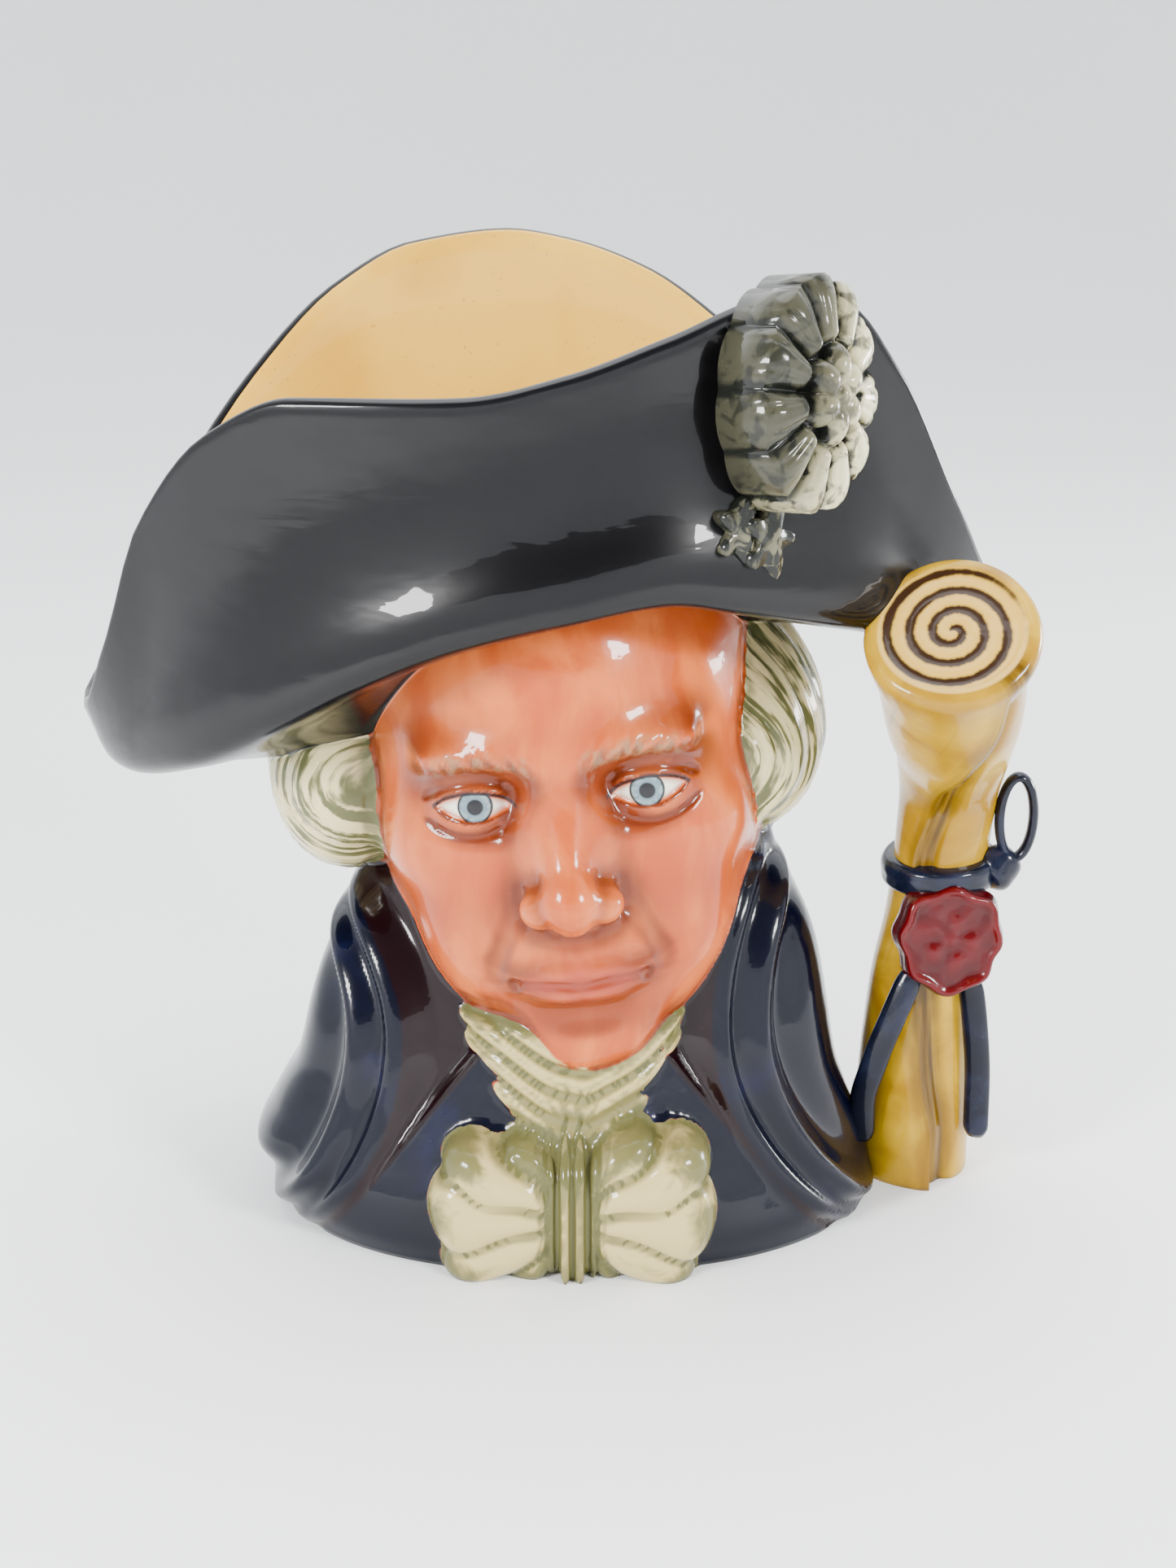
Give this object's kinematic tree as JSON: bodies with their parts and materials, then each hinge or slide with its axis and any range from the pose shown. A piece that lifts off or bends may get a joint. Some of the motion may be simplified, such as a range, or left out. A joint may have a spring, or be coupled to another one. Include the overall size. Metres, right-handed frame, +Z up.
{
  "type": "character jug",
  "caption": "Hollow glazed ceramic jug shaped as a head in a cocked hat, open at the top, with a rolled scroll as its side handle.",
  "frame": {"origin": "on the flat underside, close to the middle of its width and depth", "axes": "+X the viewer's right as the face looks at the viewer, towards the handle; -Y the front, where the face looks; +Z up"},
  "size_m": [0.191, 0.1162, 0.191],
  "materials": {
    "glazed_ceramic": "clear gloss glaze over hand-painted colours"
  },
  "bodies": {
    "root": {"jug": "glazed_ceramic"}
  },
  "joints": []
}
